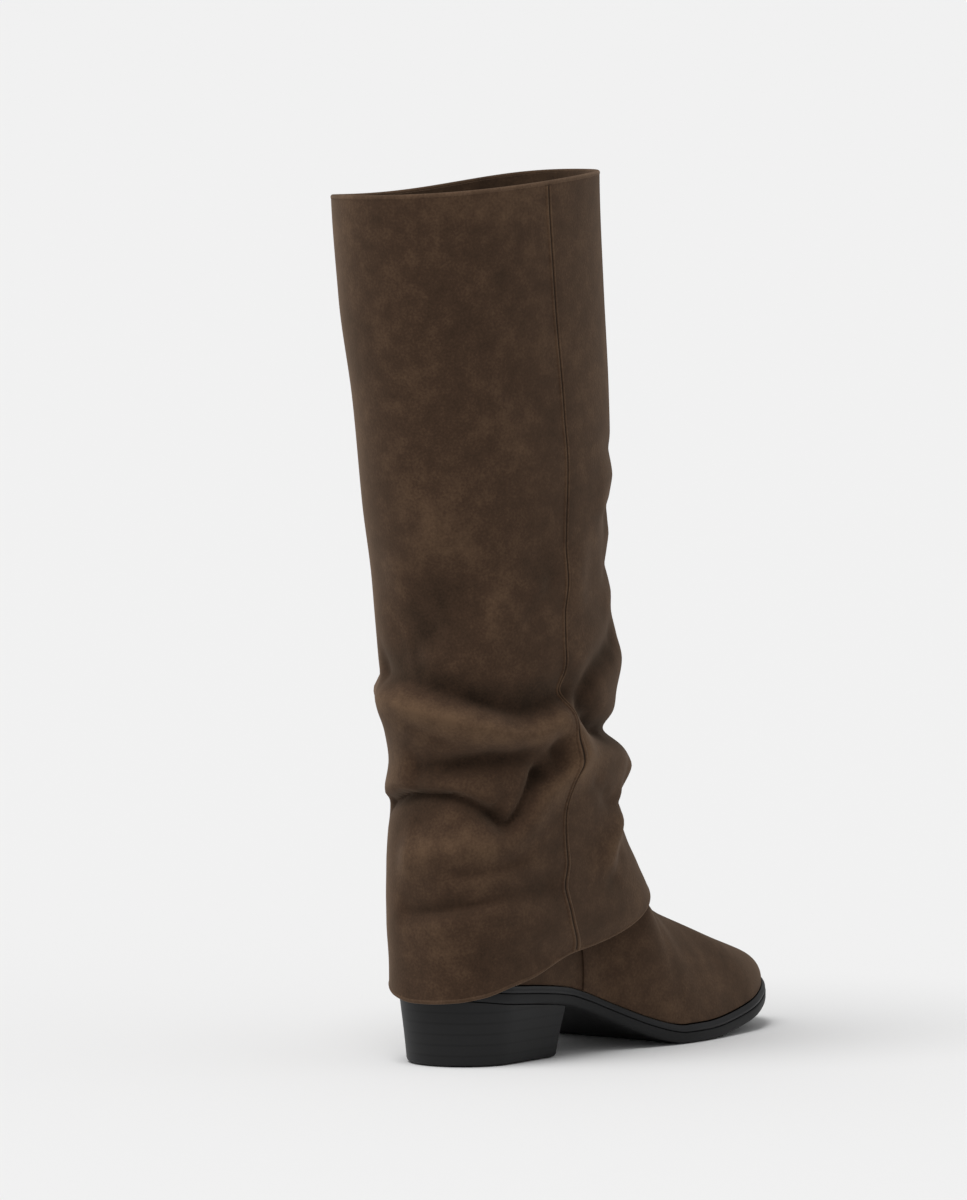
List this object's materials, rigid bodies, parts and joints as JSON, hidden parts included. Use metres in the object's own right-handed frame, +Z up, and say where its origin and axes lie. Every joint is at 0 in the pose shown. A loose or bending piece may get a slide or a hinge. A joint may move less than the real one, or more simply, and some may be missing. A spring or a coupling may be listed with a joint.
{
  "type": "slouch boot",
  "caption": "Tall pull-on slouch boot for the right foot with a loose suede shaft over the foot, a free hem and a stacked block heel.",
  "frame": {"origin": "middle of the face that the heel rests on", "axes": "+X toward the toe, +Y toward the inner side of the foot, +Z up"},
  "size_m": [0.312, 0.1138, 0.4338],
  "materials": {
    "suede": "soft brown suede",
    "rubber": "matte black rubber",
    "welt": "satin black bevelled edge",
    "heel": "black stacked layers, satin",
    "insole": "pale brown leather"
  },
  "bodies": {
    "root": {"heel_block": "heel", "outsole": "rubber", "welt": "welt", "insole": "insole", "upper": "suede", "shaft": "suede"}
  },
  "joints": []
}
